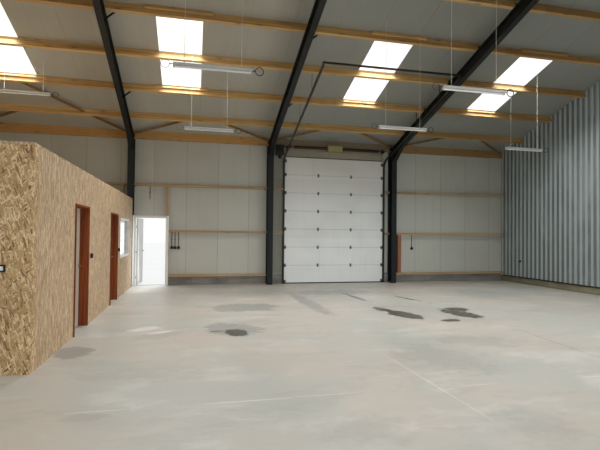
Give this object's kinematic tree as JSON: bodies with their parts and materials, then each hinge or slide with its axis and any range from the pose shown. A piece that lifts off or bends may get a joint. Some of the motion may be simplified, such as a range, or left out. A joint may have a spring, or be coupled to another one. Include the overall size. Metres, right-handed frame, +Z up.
{
  "type": "factory hall",
  "caption": "Portal-frame factory hall with timber purlins, sectional door, hinged entrance door and a board-walled office with hinged doors and a window",
  "frame": {"origin": "the middle of the floor slab's underside, on the ground", "axes": "+Z up, +X along the hall towards the office gable, -Y out through the front wall with the doors"},
  "size_m": [18.303, 17.3994, 7.5775],
  "materials": {
    "floor_slab": "smooth trowelled concrete",
    "plinths": "cast concrete",
    "plinth_gables": "cast concrete",
    "columns": "satin dark grey primer",
    "rafters_front": "satin dark grey primer",
    "rafters_rear": "satin dark grey primer",
    "rafter_ties": "satin dark grey primer",
    "purlins": "sawn softwood",
    "roof_braces": "sawn softwood",
    "wall_rails": "sawn softwood",
    "wall_posts": "sawn softwood",
    "wall_front": "coated steel sandwich panel",
    "wall_heads": "coated steel sandwich panel",
    "wall_rear": "coated steel sandwich panel",
    "gable_walls": "coated steel sandwich panel",
    "gable_linings": "corrugated coated sheet",
    "roof_front": "coated steel sandwich panel",
    "roof_rear": "coated steel sandwich panel",
    "rooflights": "translucent white sheet",
    "rooflight_battens": "sawn softwood",
    "ridge_cap": "folded coated sheet",
    "verge_trims": "folded coated sheet",
    "gutters": "folded coated sheet",
    "downpipes": "coated pipe",
    "gate_leaf": "white coated sections",
    "gate_hinges": "galvanised",
    "gate_tracks": "galvanised",
    "gate_shaft": "galvanised",
    "gate_head": "folded coated sheet",
    "gate_coupling": "timber packing",
    "gate_drive": "black housing",
    "entry_frame_set": "white profile",
    "entry_leaf": "white panel",
    "office_end_wall": "strand board",
    "office_side_wall": "strand board",
    "office_lintels": "strand board",
    "office_roof": "strand board",
    "office_linings": "dark stained timber",
    "office_door_near": "white painted leaf",
    "office_door_far": "white painted leaf",
    "office_window": "white profile",
    "office_glass": "clear double glazing",
    "hanging_lights": "white batten",
    "light_wires": "thin wire"
  },
  "bodies": {
    "building": {"floor_slab": "floor_slab", "plinths": "plinths", "plinth_gables": "plinth_gables", "columns": "columns", "rafters_front": "rafters_front", "rafters_rear": "rafters_rear", "rafter_ties": "rafter_ties", "purlins": "purlins", "roof_braces": "roof_braces", "wall_rails": "wall_rails", "wall_posts": "wall_posts", "wall_front": "wall_front", "wall_heads": "wall_heads", "wall_rear": "wall_rear", "gable_walls": "gable_walls", "gable_linings": "gable_linings", "roof_front": "roof_front", "roof_rear": "roof_rear", "rooflights": "rooflights", "rooflight_battens": "rooflight_battens", "ridge_cap": "ridge_cap", "verge_trims": "verge_trims", "gutters": "gutters", "downpipes": "downpipes", "gate_leaf": "gate_leaf", "gate_hinges": "gate_hinges", "gate_tracks": "gate_tracks", "gate_shaft": "gate_shaft", "gate_head": "gate_head", "gate_coupling": "gate_coupling", "gate_drive": "gate_drive", "entry_frame_set": "entry_frame_set", "office_end_wall": "office_end_wall", "office_side_wall": "office_side_wall", "office_lintels": "office_lintels", "office_roof": "office_roof", "office_linings": "office_linings", "office_window": "office_window", "office_glass": "office_glass", "hanging_lights": "hanging_lights", "light_wires": "light_wires"},
    "entrance_leaf": {"entry_leaf": "entry_leaf"},
    "office_leaf_near": {"office_door_near": "office_door_near"},
    "office_leaf_far": {"office_door_far": "office_door_far"}
  },
  "joints": [
    {"name": "entrance_hinge", "type": "hinge", "parent": "building", "child": "entrance_leaf", "pos_m": [4.2025, -8.163, 0.16], "axis": [0, 0, 1], "range_deg": [-86, 9]},
    {"name": "office_near_hinge", "type": "hinge", "parent": "building", "child": "office_leaf_near", "pos_m": [4.46, -0.6955, 0.16], "axis": [0, 0, 1], "range_deg": [0, 90]},
    {"name": "office_far_hinge", "type": "hinge", "parent": "building", "child": "office_leaf_far", "pos_m": [4.46, -3.9525, 0.16], "axis": [0, 0, 1], "range_deg": [0, 90]}
  ]
}
